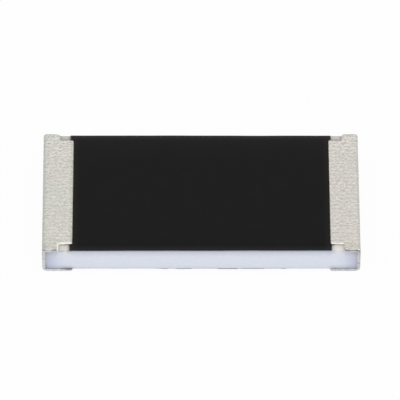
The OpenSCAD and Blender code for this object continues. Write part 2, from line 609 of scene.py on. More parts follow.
def ragged_bar(name, low, high, depth, lift):
    """A thin bar with an uneven skin, to cut an uneven line. Its inner end is lifted."""
    bar = start_block(name, low, high)
    edit(bar)
    inner = min(low[0], high[0], key=abs)
    pick("VERT", lies_at(x=inner))
    bpy.ops.transform.translate(value=(0, 0, lift))
    bpy.ops.mesh.select_all(action="SELECT")
    bpy.ops.mesh.subdivide(number_cuts=3)
    pick("EDGE", lambda e: abs(e.verts[0].co.x - e.verts[1].co.x) > BAR_STEP)
    bpy.ops.mesh.subdivide(number_cuts=6)
    let_go()
    roughen(bar, snag, depth)
    return bar


# %% [markdown]
# Now the steps come together. The plate and the coat are cut out of the melted cap as well as its core,
# so that the tin touches the layers under it and doesn't run into them. Both ends are made in this way
# from their own plans.

# %% Helper that makes a whole cap
PLATE_WIDER = 0.1
SLOT_OFF_END = 0.012
SLOT_OFF_BAR = 0.04
SLOT_PROUD = 0.03
CAP_SMOOTH = math.radians(60)


def make_cap(name, plan):
    """One finished cap: melted, grained, and cut to a skin over the layers inside it."""
    cap = cap_top(name, plan, 0.0)
    melt(cap, cap_pad("pad", plan, 0.0))
    roughen(cap, swell, GRAIN_DEPTH)
    roughen(cap, grain, GRAIN_DEPTH)
    cut_away(cap, cap_top("core_top", plan, TIN_T))
    cut_away(cap, cap_pad("core_pad", plan, TIN_T))
    plate_low = (ceramic_low.x, -HALF_W - PLATE_WIDER, ceramic_low.z)
    plate_high = (ceramic_high.x, HALF_W + PLATE_WIDER, ceramic_high.z)
    cut_away(cap, start_block("plate", plate_low, plate_high))
    cut_away(cap, coat_blank, keep_tool=True)
    side = plan["side"]
    ends = sorted((side * (END_X - SLOT_OFF_END), side * (plan["bar_front"] + SLOT_OFF_BAR)))
    for front in (-1, 1):
        faces = sorted((front * (HALF_W - SLOT_DEPTH), front * (HALF_W + SLOT_PROUD)))
        low = (ends[0], faces[0], plan["slot"][0])
        high = (ends[1], faces[1], plan["slot"][1])
        cut_away(cap, ragged_bar("slot", low, high, SLOT_RAGGED, plan["slot_lift"]))
    take(cap)
    bpy.ops.object.shade_smooth_by_angle(angle=CAP_SMOOTH)
    to_real_size(cap)
    return cap


# %% Make both caps
tin_skins = []
for name, plan in (("tin_plating_left", LEFT_PLAN), ("tin_plating_right", RIGHT_PLAN)):
    cap = make_cap(name.replace("plating", "skin"), plan)
    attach(cap, "root")
    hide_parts(name)
    tin_skins.append(cap)
bpy.data.objects.remove(coat_blank)

# %% [markdown]
# ## The ceramic plate
#
# The plate is snapped from a larger sheet of alumina along lines that were scribed in its underside. So
# its long lower edges are bevelled by the scribe and a little ragged, and its long faces are rough. A
# block gets the bevel first. Then its long edges are divided, so that a displace has something to move.

# %% Model the plate from a block
SCRIBE = 0.004
DECK_ROUND_FRONT = 0.014
DECK_ROUND_BACK = 0.003
plate = start_block("ceramic_plate", ceramic_low, ceramic_high)
edit(plate)
round_edges(SCRIBE, 3, lies_at(far_y=HALF_W, z=ceramic_low.z))
for y, radius in ((-HALF_W, DECK_ROUND_FRONT), (HALF_W, DECK_ROUND_BACK)):
    round_edges(radius, 4, lies_at(y=y, z=DECK_Z))
print("plate starts with", len(bmesh.from_edit_mesh(plate.data).faces), "faces")

# %% Divide its long faces, so that a displace can move them
FLAT_FROM = 0.05
ALONG_CUTS = 17
UP_CUTS = 15
UPRIGHT_L = 0.3


def runs_along(edge):
    """True for an edge that runs along the chip."""
    across = edge.verts[0].co - edge.verts[1].co
    return abs(across.x) > 0.01 and near(across.y, 0.0) and near(across.z, 0.0)


for y in (-HALF_W + FLAT_FROM, HALF_W - FLAT_FROM):
    slice_at((0, y, 0), (0, 1, 0))
for step in range(2):
    pick("EDGE", runs_along)
    bpy.ops.mesh.subdivide(number_cuts=ALONG_CUTS)
pick("EDGE", lambda e: abs(e.verts[0].co.z - e.verts[1].co.z) > UPRIGHT_L)
bpy.ops.mesh.subdivide(number_cuts=UP_CUTS)
let_go()
print("plate divided into", len(plate.data.polygons), "faces")

# %% [markdown]
# Where the sheet didn't break cleanly along the scribe, thin lips hang from the plate's front edge. A
# bump in the finish couldn't change the outline, so the corners of the edge itself are pulled down.

# %% Pull down the lips that the snap left on its front edge
LIP_DEPTH = 0.009
# Each lip: where it starts and ends along X, and a share for how far it hangs and how dark it is
LIPS = (
    (-0.82, -0.66, 0.78),
    (-0.50, -0.18, 0.86),
    (0.31, 0.74, 1.00),
    (0.79, 1.26, 0.80),
    (1.59, 1.70, 0.76),
)


def on_lip(corner, start, stop):
    """True for a corner of the lower front edge between two places along X."""
    low_edge = corner.co.y < -HALF_W + 1.5 * SCRIBE and corner.co.z < ceramic_low.z + 1.5 * SCRIBE
    return low_edge and start < corner.co.x < stop


edit(plate)
for start, stop, lip_share in LIPS:
    moved = pick("VERT", lambda v: on_lip(v, start, stop))
    bpy.ops.transform.translate(value=(0, 0, -LIP_DEPTH * lip_share))
    print("lip from", start, "to", stop, "has", moved, "corners")
let_go()

# %% [markdown]
# A broken face is rough all over, and its lower edge is chipped besides. Two groups of corners say which
# part of the mesh each displace may move, so that the deck and the underside stay flat for the layers
# that lie on them.

# %% Roughen its faces, and chip the edge that was snapped
SNAP_SIZE = 0.12
SNAP_DEPTH = 0.003
CHIP_SIZE = 0.22
CHIP_DEPTH = 0.008
CHIP_LEVEL = 0.95
FACE_DEPTH = 0.03
EDGE_HEIGHT = 0.04
PLATE_SMOOTH = math.radians(40)
snap = clouds("snapped_face", SNAP_SIZE, 3)
chips = clouds("chipped_edge", CHIP_SIZE, 4)


def group_of(piece, name, test):
    """A group of the corners that pass a test."""
    group = piece.vertex_groups.new(name=name)
    group.add([v.index for v in piece.data.vertices if test(v.co)], 1.0, "REPLACE")
    return group.name


def on_face(point):
    """True near the long faces."""
    return abs(point.y) > HALF_W - FACE_DEPTH


snapped_faces = group_of(plate, "snapped_faces", on_face)
lower_edges = group_of(plate, "lower_edges", lambda p: on_face(p) and p.z < ceramic_low.z + EDGE_HEIGHT)
roughen(plate, snap, SNAP_DEPTH, group=snapped_faces)
roughen(plate, chips, CHIP_DEPTH, level=CHIP_LEVEL, group=lower_edges)
plate.vertex_groups.clear()
bpy.ops.object.shade_smooth_by_angle(angle=PLATE_SMOOTH)
to_real_size(plate)
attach(plate, "root")
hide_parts("ceramic_substrate")

# %% [markdown]
# ## Finishes
#
# Every finish is a small tree of nodes that reads the piece's own Object coordinates. They are in metres,
# so a Mapping node first turns them into millimetres.

# %% Helpers that start a finish, plug values in and measure places
def new_finish(name):
    """A new material, its tree and its shader."""
    finish = bpy.data.materials.new(name)
    finish.use_nodes = True
    tree = finish.node_tree
    return finish, tree, tree.nodes["Principled BSDF"]


def plug(value, socket):
    """Links a value to a socket of the same tree."""
    value.id_data.links.new(value, socket)


def node_after(value, kind, socket):
    """A new node in the tree of a value, which is plugged into one of its sockets."""
    made = value.id_data.nodes.new(kind)
    plug(value, made.inputs[socket])
    return made


def math_node(way, a, b=None):
    """A sum, a product or the like of two values, of which the second may be a number."""
    made = node_after(a, "ShaderNodeMath", 0)
    made.operation = way
    if isinstance(b, float):
        made.inputs[1].default_value = b
    elif b is not None:
        plug(b, made.inputs[1])
    return made.outputs["Value"]


def place_in_mm(tree, stretch=(1.0, 1.0, 1.0)):
    """Object coordinates in millimetres, squeezed along each axis."""
    where = tree.nodes.new("ShaderNodeTexCoord")
    mapping = node_after(where.outputs["Object"], "ShaderNodeMapping", "Vector")
    mapping.inputs["Scale"].default_value = [BENCH / s for s in stretch]
    return mapping.outputs["Vector"]


def axes_of(where, sizes_only=True):
    """The X, Y and Z of a place, without their signs where asked."""
    signed = node_after(where, "ShaderNodeSeparateXYZ", "Vector").outputs
    if not sizes_only:
        return list(signed)
    return [math_node("ABSOLUTE", axis) for axis in signed]


# %% Helpers for patterns
def noise(where, grains_per_mm, detail=2.0, rough=0.5):
    """A noise with so many grains to a millimetre."""
    made = node_after(where, "ShaderNodeTexNoise", "Vector")
    made.inputs["Scale"].default_value = grains_per_mm
    made.inputs["Detail"].default_value = detail
    made.inputs["Roughness"].default_value = rough
    return made.outputs["Fac"]


def ripples(where, rows_per_mm, sway):
    """Wavy lines that run along the chip, so many to a millimetre."""
    made = node_after(where, "ShaderNodeTexWave", "Vector")
    made.wave_type = "BANDS"
    made.bands_direction = "Y"
    made.inputs["Scale"].default_value = rows_per_mm * math.pi / 10
    made.inputs["Distortion"].default_value = sway
    made.inputs["Detail"].default_value = 2.0
    made.inputs["Detail Scale"].default_value = 2.5
    return made.outputs["Fac"]


# %% [markdown]
# Real surfaces are never even, and some light and shade is painted on here as well: one corner is darker,
# and a rim is brighter in another place. Such a place is a mask, a value that is 1 there and 0 elsewhere.
# It is written as a list of limits in millimetres, so that (height, 0.43, 0.47) means a mask that starts
# at 0.43 mm above the floor and is full from 0.47 mm on.

# %% Helpers for masks
def span(value, low, high, to_low, to_high):
    """Moves a value from one range to another."""
    made = node_after(value, "ShaderNodeMapRange", "Value")
    for socket, number in zip(("From Min", "From Max", "To Min", "To Max"), (low, high, to_low, to_high)):
        made.inputs[socket].default_value = number
    return made.outputs["Result"]


def fade(value, start, full):
    """A mask that grows from 0 to 1 between two values."""
    return span(value, start, full, 0.0, 1.0)


def join_masks(way, limits):
    """Joins limits into one mask. A limit is a mask, or a value, where it starts and where it is full."""
    masks = [fade(*limit) if isinstance(limit, tuple) else limit for limit in limits]
    made = masks[0]
    for mask in masks[1:]:
        made = math_node(way, made, mask)
    return made


def all_of(*limits):
    """A mask that shows only where all its limits do. A number among them makes it weaker."""
    return join_masks("MULTIPLY", limits)


def any_of(*limits):
    """A mask that shows where at least one of its limits does."""
    return join_masks("MAXIMUM", limits)


# %% Helpers for colours
UNCHANGED = (1.0, 1.0, 1.0)
NO_LIGHT = (0.0, 0.0, 0.0)


def ramp(value, stops):
    """Turns a value into a colour, through stops of place and colour."""
    made = node_after(value, "ShaderNodeValToRGB", "Fac")
    marks = made.color_ramp.elements
    while len(marks) < len(stops):
        marks.new(0.5)
    for mark, (at, colour) in zip(marks, stops):
        mark.position = at
        mark.color = (*colour, 1.0)
    return made.outputs["Color"]


def blend(way, amount, a, b):
    """Mixes two colours in a given way. The amount is a number or a mask."""
    made = a.id_data.nodes.new("ShaderNodeMix")
    made.data_type = "RGBA"
    made.blend_type = way
    if isinstance(amount, float):
        made.inputs["Factor"].default_value = amount
    else:
        plug(amount, made.inputs["Factor"])
    plug(a, made.inputs["A"])
    plug(b, made.inputs["B"])
    return made.outputs["Result"]


def shade(colour, value, tones):
    """Multiplies a colour by the tones that a value gives."""
    return blend("MULTIPLY", 1.0, colour, ramp(value, tones))


def darken(colour, mask, dark):
    """Darkens a colour where a mask shows, to a share of its red, green and blue."""
    return shade(colour, mask, ((0.0, UNCHANGED), (1.0, dark)))


def two_tones(colour, darker, lighter):
    """Stops of a ramp for a fine grain, a share darker and a share lighter than a colour."""
    return ((0.3, tuple(darker * c for c in colour)), (0.7, tuple(lighter * c for c in colour)))


# %% Helpers that give relief and put a finish on
def bump(shader, height, depth_mm):
    """Lets a value stand as relief, of a depth in millimetres."""
    made = node_after(height, "ShaderNodeBump", "Height")
    made.inputs["Strength"].default_value = 1.0
    made.inputs["Distance"].default_value = depth_mm / BENCH
    plug(made.outputs["Normal"], shader.inputs["Normal"])


def tell(tree, step):
    """Prints how large a finish has grown by a step."""
    print(step, "brings the finish to", len(tree.nodes), "nodes")


def wear(pieces, finish):
    """Gives pieces one finish."""
    for piece in pieces:
        piece.data.materials.clear()
        piece.data.materials.append(finish)
    print(finish.name, "has", len(finish.node_tree.nodes), "nodes and is on", sorted(p.name for p in pieces))


# %% [markdown]
# ### Matt tin
#
# Plated tin has no polish. Its crystals are a few hundredths of a millimetre across, each a little
# lighter or darker, and faint warm and cool patches lie over them where the bath ran thicker.

# %% Finish of the tin
GRAIN_TONES = ((0.25, (0.477, 0.468, 0.434)), (0.5, (0.659, 0.647, 0.598)), (0.75, (0.841, 0.826, 0.763)))
PATCH_TONES = ((0.3, (0.96, 0.982, 0.978)), (0.5, (0.985, 0.985, 0.985)), (0.7, (1.0, 0.978, 0.982)))
ROW_SHARE = 0.11
tin, tree, shader = new_finish("matt_tin_grain")
plain = place_in_mm(tree)
far_x, far_y, height = axes_of(plain)
along, across, _ = axes_of(plain, sizes_only=False)
crystals = noise(place_in_mm(tree, (1.4, 1.0, 1.0)), 29.0, detail=3.0, rough=0.6)
rows = math_node("SUBTRACT", ripples(plain, rows_per_mm=10.5, sway=6.0), 0.5)
on_top = span(height, 0.52, 0.60, 0.0, ROW_SHARE)
crystals = all_of(crystals, 1.0 - ROW_SHARE)
crystals = math_node("ADD", crystals, 0.5 * ROW_SHARE)
crystals = math_node("ADD", crystals, all_of(rows, on_top))
swing = all_of(math_node("SUBTRACT", crystals, 0.5), span(across, 0.75, 1.25, 1.0, 1.35))
crystals = math_node("ADD", swing, span(across, 0.75, 1.25, 0.5, 0.52))
patches = noise(plain, 1.6, detail=2.0, rough=0.5)
colour = shade(ramp(crystals, GRAIN_TONES), patches, PATCH_TONES)
right_end = fade(along, -0.1, 0.1)
left_end = fade(along, 0.1, -0.1)
rosy = all_of(right_end, span(far_x, 2.98, 3.06, 1.0, 0.2))
colour = darken(colour, rosy, (1.0, 0.978, 0.982))
colour = darken(colour, left_end, (0.988, 0.990, 0.994))
tell(tree, "tin grain")

# %% [markdown]
# Painted shade darkens the rounded outer edges, the back rim and the back of the right tongue, which turn
# away from the light. Where the bars were snapped apart the tin is cooler and barer. Each such place is one
# mask that darkens the colour so far.

# %% Painted shade on the outer edges and rims, and the cooler faces where the bars were snapped
COOL_TONES = ((0.25, (0.50, 0.505, 0.510)), (0.75, (0.79, 0.795, 0.805)))
# painted shade where the outer edge rounds away from the light
outer_rim_shade = all_of((far_x, 3.10, 3.165), span(right_end, 0.0, 1.0, 1.0, 0.6))
colour = darken(colour, outer_rim_shade, (0.83, 0.83, 0.84))
outer_left = all_of(left_end, (far_x, 2.98, 3.09))
colour = darken(colour, outer_left, (0.965, 0.972, 0.975))
bar_front = fade(across, -1.37, -1.46)
colour = darken(colour, bar_front, (0.94, 0.933, 0.918))
by_coat = all_of(left_end, (far_x, 2.638, 2.612))
colour = darken(colour, by_coat, (0.91, 0.905, 0.89))
behind_rim = all_of(right_end, (across, -1.318, -1.335), (across, -1.372, -1.355), (far_x, 2.87, 2.84))
colour = darken(colour, behind_rim, (0.90, 0.90, 0.88))
# painted shade on the back rim
back_rim_shade = fade(across, 1.53, 1.585)
colour = darken(colour, back_rim_shade, (0.87, 0.87, 0.88))
# painted shade on the back of the right tongue
tongue_back_shade = all_of(right_end, (across, 1.380, 1.406), (far_x, 2.86, 2.83))
colour = darken(colour, tongue_back_shade, (0.74, 0.74, 0.74))
snapped = fade(far_y, 1.586, 1.592)
cool = ramp(crystals, COOL_TONES)
cool = darken(cool, right_end, (0.91, 0.905, 0.915))
high_edge = all_of((far_x, 3.14, 3.17), (height, 0.30, 0.50))
cool = darken(cool, high_edge, (0.74, 0.74, 0.74))
bite = all_of(right_end, (far_x, 3.105, 3.120), (height, 0.190, 0.205), (height, 0.232, 0.217))
cool = darken(cool, bite, (0.78, 0.78, 0.79))
high_strip = all_of(right_end, (far_x, 3.105, 3.120), (height, 0.43, 0.47))
cool = darken(cool, high_strip, (0.88, 0.88, 0.88))
colour = blend("MIX", snapped, colour, cool)
tell(tree, "wear")

# %% [markdown]
# Shade is painted into the colour where little light reaches: in the torn slots, on the low walls of the
# notches and under the tip of a pad. A darker band runs along the foot of the left bar's front. The slot
# and the rim lie a little higher on one end than on the other, so their masks read shifted levels.

# %% Painted shade in the slots, on the walls of the notches, and under the tip of the left pad
SLOT_STEP = 0.003
RIM_STEP = 0.005
streaks = span(noise(plain, 9.0, detail=2.0, rough=0.5), 0.35, 0.6, 0.2, 1.0)
slot_level = math_node("ADD", height, all_of(right_end, SLOT_STEP))
front_left = all_of(left_end, (across, 0.1, -0.1), (far_x, 3.095, 3.070))
# painted shade in the torn slots
slot_shade = all_of(
    streaks,
    span(front_left, 0.0, 1.0, 1.0, 0.45),
    (far_y, 1.572, 1.578),
    (slot_level, 0.586, 0.596),
    (slot_level, 0.6265, 0.6245),
)
colour = darken(colour, slot_shade, (0.50, 0.50, 0.51))
# a darker band at the foot of the left bar's front
low_front_band = all_of(
    left_end,
    (across, -1.570, -1.578),
    (far_x, 2.995, 2.965),
    (far_x, 2.870, 2.885),
    (height, 0.560, 0.575),
)
colour = darken(colour, low_front_band, (0.85, 0.85, 0.84))
# painted shade under the bright glint on the right cap's front corner
shade_under_glint = all_of(
    right_end,
    (far_x, 3.118, 3.128),
    (across, -1.570, -1.580),
    (height, 0.555, 0.565),
    (height, 0.616, 0.608),
)
colour = darken(colour, shade_under_glint, (0.68, 0.68, 0.69))
rim_level = math_node("ADD", height, all_of(left_end, RIM_STEP))
# painted shade on the low walls of the notches
wall_shade = all_of(
    (far_y, 1.412, 1.420),
    (far_y, 1.446, 1.442),
    (rim_level, 0.625, 0.618),
    (rim_level, 0.599, 0.605),
    (far_x, 2.88, 2.60),
)
colour = darken(colour, wall_shade, (0.36, 0.36, 0.36))
# painted shade in the corner of the notch wall by the coat, put on further down
wall_corner_shade = all_of(
    (across, -1.412, -1.420), (across, -1.450, -1.446), (rim_level, 0.620, 0.612), (far_x, 2.68, 2.60)
)
# painted shade under the tip of the left pad
shade_under_pad_tip = all_of(left_end, (far_y, 1.580, 1.586), (far_x, 2.84, 2.60), (height, 0.028, 0.046))
colour = darken(colour, shade_under_pad_tip, (0.24, 0.25, 0.28))
tell(tree, "painted_shade")

# %% [markdown]
# The rims in front get painted highlights where they face the light. The bright line on the left cap
# follows the round fillet between bar and tongue, so its mask reads the distance from that fillet and not a
# straight line.

# %% Painted highlights on the rims in front
PAINTED_HIGHLIGHT_TONES = ((0.25, (0.84, 0.83, 0.80)), (0.75, (0.95, 0.94, 0.915)))
fillet = LEFT_PLAN["fillet_front"]
past_x = math_node("SUBTRACT", far_x, LEFT_PLAN["bar_front"] - fillet)
past_x = math_node("MAXIMUM", past_x, 0.0)
past_y = math_node("ADD", across, TONGUE_HALF_W + fillet)
past_y = math_node("MAXIMUM", past_y, 0.0)
squares = math_node("ADD", all_of(past_x, past_x), all_of(past_y, past_y))
into_left = math_node("SUBTRACT", math_node("SQRT", squares), fillet)
into_right = math_node("ADD", across, TONGUE_HALF_W)
in_front = fade(across, -1.25, -1.30)
bar_rim = all_of(left_end, (across, -1.445, -1.475), (into_left, 0.030, 0.016), (height, 0.560, 0.575))
left_rim = all_of(
    left_end, in_front, (into_left, 0.048, 0.034), (across, -1.53, -1.47), (rim_level, 0.616, 0.622)
)
right_rim = all_of(
    right_end,
    (into_right, 0.032, 0.018),
    (across, -1.450, -1.440),
    (rim_level, 0.616, 0.622),
    (far_x, 2.850, 2.830),
    (far_x, 2.580, 2.610),
)
# a faint painted highlight along the foot of the left bar's front
front_face_highlight = all_of(
    left_end, (across, -1.565, -1.575), (far_x, 2.97, 3.02), (far_x, 3.105, 3.085), (height, 0.560, 0.570)
)
# a painted glint on the right cap's front corner
corner_glint = all_of(right_end, (far_x, 3.112, 3.125), (across, -1.562, -1.574), (height, 0.600, 0.612))
low_wall = all_of(
    (across, -1.412, -1.420), (across, -1.446, -1.442), (rim_level, 0.603, 0.597), (far_x, 2.86, 2.82)
)
# painted highlights on the rims in front, the corner glint and the low walls
painted_highlight = any_of(
    bar_rim, all_of(left_rim, 0.72), right_rim, all_of(low_wall, 0.4), corner_glint, all_of(front_face_highlight, 0.28)
)
colour = blend("MIX", painted_highlight, colour, ramp(crystals, PAINTED_HIGHLIGHT_TONES))
# painted shade in the corner of the notch wall by the coat
colour = darken(colour, wall_corner_shade, (0.50, 0.50, 0.50))
tell(tree, "rubbed rims")

# %% [markdown]
# One scratch runs across the outer edge of the right cap. It is too fine to be worth cutting, so its look
# is painted: a groove of painted shade between two lips with painted highlights.

# %% One fine scratch on the right cap
LIP_SHARE = 0.35
SCRATCH_Y = -0.301
SCRATCH_HALF_W = 0.016
from_scratch = math_node("ABSOLUTE", math_node("SUBTRACT", across, SCRATCH_Y))
scratched = all_of(right_end, (far_x, 3.012, 3.022), (far_x, 3.15, 3.13))
# the scratch is real wear; the shade in its groove and the highlights on its lips are painted
scratch_groove_shade = all_of(scratched, (from_scratch, SCRATCH_HALF_W, 0.7 * SCRATCH_HALF_W))
scratch_lip_highlights = all_of(
    scratched,
    (from_scratch, 0.8 * SCRATCH_HALF_W, SCRATCH_HALF_W),
    (from_scratch, 2.8 * SCRATCH_HALF_W, 2.4 * SCRATCH_HALF_W),
)
colour = darken(colour, scratch_groove_shade, (0.86, 0.86, 0.87))
colour = blend("MIX", all_of(scratch_lip_highlights, LIP_SHARE), colour, ramp(crystals, PAINTED_HIGHLIGHT_TONES))

# %% [markdown]
# The roughness and a faint relief follow the same crystals as the colour, so that all three look like one
# skin.

# %% Close the tin's tree
plug(colour, shader.inputs["Base Color"])
plug(span(crystals, 0.2, 0.8, 0.60, 0.44), shader.inputs["Roughness"])
shader.inputs["Metallic"].default_value = 1.0
bump(shader, crystals, 0.0012)
wear(tin_skins, tin)

# %% [markdown]
# ### Black epoxy
#
# The coat is nearly black and dull. Only its curved edge catches a little light. A very soft mottle keeps
# it from looking like a hole in the picture.

# %% Finish of the coat
BLACK_TONES = ((0.3, (0.0024, 0.0024, 0.0025)), (0.7, (0.0036, 0.0036, 0.0037)))
epoxy, tree, shader = new_finish("black_epoxy")
here = place_in_mm(tree)
far_x, _, _ = axes_of(here)
_, across, _ = axes_of(here, sizes_only=False)
mottle = noise(here, 3.0, detail=3.0, rough=0.55)
black = ramp(mottle, BLACK_TONES)
tell(tree, "mottle")

# %% [markdown]
# The coat thins towards its edges, and near the caps a little of the white under it shines through.
# Along the front and the back a painted sheen is added. A see-through shader would be true to life but
# noisy and lost in the export. So a trace of light is added to the black, more towards the edge.

# %% Let the thin edges of the coat shine through, and paint a sheen along its front and back
# painted sheen, lighter towards the back edge
BACK_EDGE_SHEEN = (
    (0.0, NO_LIGHT),
    (0.5, (0.0011, 0.0011, 0.0011)),
    (0.79, (0.0028, 0.0028, 0.0026)),
    (0.84, (0.0060, 0.0060, 0.0055)),
    (0.90, (0.0075, 0.0075, 0.0070)),
    (0.935, (0.0150, 0.0150, 0.0143)),
    (0.97, (0.0105, 0.0105, 0.0100)),
)
# painted sheen, bluish along the front edge
FRONT_EDGE_SHEEN = (
    (0.0, NO_LIGHT),
    (0.4, (0.003, 0.003, 0.0033)),
    (0.8, (0.0085, 0.0095, 0.0118)),
    (1.0, (0.0070, 0.0080, 0.0108)),
)
THIN_ENDS = ((0.0, NO_LIGHT), (0.4, (0.003, 0.003, 0.0025)), (1.0, (0.065, 0.062, 0.055)))
THIN_BY_TIN = ((0.0, NO_LIGHT), (1.0, (0.0056, 0.0051, 0.0036)))
in_notch = any_of((across, 1.42, 1.436), (across, -1.44, -1.49))
for place, tones in (
    (fade(across, 0.80, 1.60), BACK_EDGE_SHEEN),
    (fade(across, -1.44, -1.56), FRONT_EDGE_SHEEN),
    (all_of(in_notch, (far_x, 2.585, 2.625)), THIN_ENDS),
    (fade(far_x, 2.44, 2.55), THIN_BY_TIN),
):
    black = blend("ADD", 1.0, black, ramp(place, tones))
plug(black, shader.inputs["Base Color"])
pores = noise(here, 30.0, detail=2.0, rough=0.5)
plug(span(pores, 0.2, 0.8, 0.36, 0.44), shader.inputs["Roughness"])
shader.inputs["Specular IOR Level"].default_value = 0.10
bump(shader, pores, 0.0004)
wear([coat], epoxy)

# %% [markdown]
# ### Alumina
#
# Fired alumina is a cool white with a fine dry grain. It lets some light through, so it turns a shade
# darker and more violet where it runs in behind the tin; that shade is painted into its colour.

# %% Finish of the ceramic
WHITE = (0.714, 0.748, 0.828)
GRIT_TONES = two_tones(WHITE, 0.975, 1.02)
END_SHADE_TONES = (
    (0.0, UNCHANGED),
    (0.35, (0.92, 0.935, 0.95)),
    (0.72, (0.77, 0.775, 0.855)),
    (0.87, (0.70, 0.69, 0.76)),
    (1.0, (0.56, 0.545, 0.56)),
)
alumina, tree, shader = new_finish("white_alumina")
here = place_in_mm(tree)
far_x, far_y, height = axes_of(here)
along, across, _ = axes_of(here, sizes_only=False)
grit = noise(here, 14.0, detail=4.0, rough=0.6)
# painted shade: darker and more violet towards the caps
body = shade(ramp(grit, GRIT_TONES), fade(far_x, 2.711, 3.111), END_SHADE_TONES)
tell(tree, "grit")

# %% [markdown]
# The long face isn't one white. It is shaded under the coat and the caps, and a little towards the floor.
# Soft ramps over the height give that, with an extra one above each pad.

# %% Shade towards the top and the lower edge, and more of it above the pads
TOP_TONES = (
    (0.0, UNCHANGED),
    (0.30, (0.975, 0.97, 0.975)),
    (0.68, (0.86, 0.855, 0.88)),
    (1.0, (0.765, 0.765, 0.775)),
)
LOW_TONES = ((0.0, UNCHANGED), (0.45, (0.995, 0.995, 1.0)), (1.0, (0.945, 0.94, 0.935)))
PAD_TONES = (
    (0.0, UNCHANGED),
    (0.30, (0.93, 0.93, 0.935)),
    (0.55, (0.87, 0.87, 0.88)),
    (1.0, (0.70, 0.70, 0.72)),
)
under_notch = all_of((far_x, 2.58, 2.66), (far_x, 2.88, 2.77))
below_deck = math_node("SUBTRACT", fade(height, 0.385, 0.564), under_notch)
body = shade(body, below_deck, TOP_TONES)
near_foot = fade(height, 0.21, 0.064)
over_pad = all_of(near_foot, (far_x, 2.50, 2.62))
body = shade(body, near_foot, LOW_TONES)
body = shade(body, over_pad, PAD_TONES)
tell(tree, "shade")

# %% [markdown]
# The broken lower edge gets painted shade of its chips in patches, and is much darker along the back and
# on its lips. The same list that shaped the lips says how dark each of them is, so the two stay together.

# %% Painted chip shade, and dark marks on the snapped lower edge
DARK_STRETCH = (-0.92, 1.70, 0.64)
LIP_SOFT = 0.03
right_end = fade(along, -0.1, 0.1)
left_end = fade(along, 0.1, -0.1)
patchy = fade(noise(here, 3.5, detail=4.0, rough=0.6), 0.45, 0.65)
# painted shade of the chips, in patches near the lower edge
chip_shade = all_of((height, 0.115, 0.075), patchy)
body = darken(body, chip_shade, (0.90, 0.89, 0.89))
in_back = fade(across, -0.1, 0.1)
# much darker along the lower edge at the back and on each lip in front
hem = all_of(in_back, span(patchy, 0.0, 1.0, 0.5, 1.0), (far_x, 2.62, 2.56))
for start, stop, lip_share in (DARK_STRETCH, *LIPS):
    on_stretch = all_of(
        (across, 0.1, -0.1),
        (along, start - LIP_SOFT, start + LIP_SOFT),
        (along, stop + LIP_SOFT, stop - LIP_SOFT),
    )
    hem = any_of(hem, all_of(on_stretch, lip_share))
hem = all_of(hem, (height, 0.081, 0.072))
body = darken(body, hem, (0.16, 0.16, 0.17))
tell(tree, "chip_shade")

# %% [markdown]
# By the caps the face has small tones: painted shade over the tips of the pads, warmer on the right,
# and greyer in the outer corners. They belong to the long faces only, so the plain white comes back
# behind them.

# %% Tones of the face by the caps
TIP_SHADE_TONES = (
    (0.0, UNCHANGED),
    (0.37, (0.88, 0.88, 0.88)),
    (0.78, (0.77, 0.77, 0.77)),
    (1.0, (0.30, 0.30, 0.32)),
)
WARM_TONES = ((0.0, NO_LIGHT), (1.0, (0.022, 0.010, 0.0)))
# painted shade over the tips of the pads
shade_over_pad_tip = all_of((far_x, 2.86, 2.70), (far_x, 2.545, 2.575), span(right_end, 0.0, 1.0, 1.0, 0.45))
body = blend("MULTIPLY", shade_over_pad_tip, body, ramp(fade(height, 0.150, 0.075), TIP_SHADE_TONES))
warm = all_of(right_end, (far_x, 2.70, 2.95))
body = blend("ADD", 1.0, body, ramp(warm, WARM_TONES))
low_corner = all_of(left_end, (far_x, 3.07, 3.10), (height, 0.27, 0.16))
body = darken(body, low_corner, (0.80, 0.80, 0.81))
high_ends = all_of((far_x, 2.93, 3.02), (height, 0.43, 0.49))
body = darken(body, high_ends, (1.0, 0.985, 0.90))
high_corner = all_of(right_end, (far_x, 3.08, 3.11), (height, 0.43, 0.47))
body = darken(body, high_corner, (0.92, 0.92, 0.91))
outside = fade(far_y, 1.570, 1.588)
body = blend("MIX", outside, ramp(grit, GRIT_TONES), body)
tell(tree, "tones by the caps")

# %% [markdown]
# Little of the deck shows: a floor in each of the four notches and a thin strip in front of the coat. Both
# are painted shaded copies of the white: the floors warm, darker at the back and with painted shade along
# their walls, and the strip cool and darker. This colour is mixed in above a certain height.

# %% Colours of the deck
# painted shade: a darker, cooler copy of the white for the strip in front of the coat
SHADED_STRIP_TONE = (0.465, 0.485, 0.525)
# painted shade: a warm copy of the white for the notch floors, darker towards the back
NOTCH_SHADE_TONES = ((0.0, (0.86, 0.83, 0.795)), (1.0, (0.66, 0.65, 0.63)))
shaded_strip = ramp(grit, two_tones(SHADED_STRIP_TONE, 0.97, 1.03))
notch = ramp(fade(across, -1.6, 1.6), NOTCH_SHADE_TONES)
notch = darken(notch, left_end, (0.90, 0.90, 0.90))
by_coat = all_of((far_x, 2.70, 2.632), span(right_end, 0.0, 1.0, 0.95, 0.5))
by_bar = all_of((far_x, 2.76, 2.83), span(in_back, 0.0, 1.0, 0.4, 0.7))
by_tongue = all_of((across, -1.50, -1.440), 0.3, (in_back, 1.0, 0.0))
behind_tongue = all_of((across, 1.54, 1.502), 0.65, in_back)
by_edge = all_of(left_end, (far_x, 2.73, 2.77), (across, -1.52, -1.57))
back_edge = all_of((across, 1.560, 1.585), span(right_end, 0.0, 1.0, 0.2, 0.5))
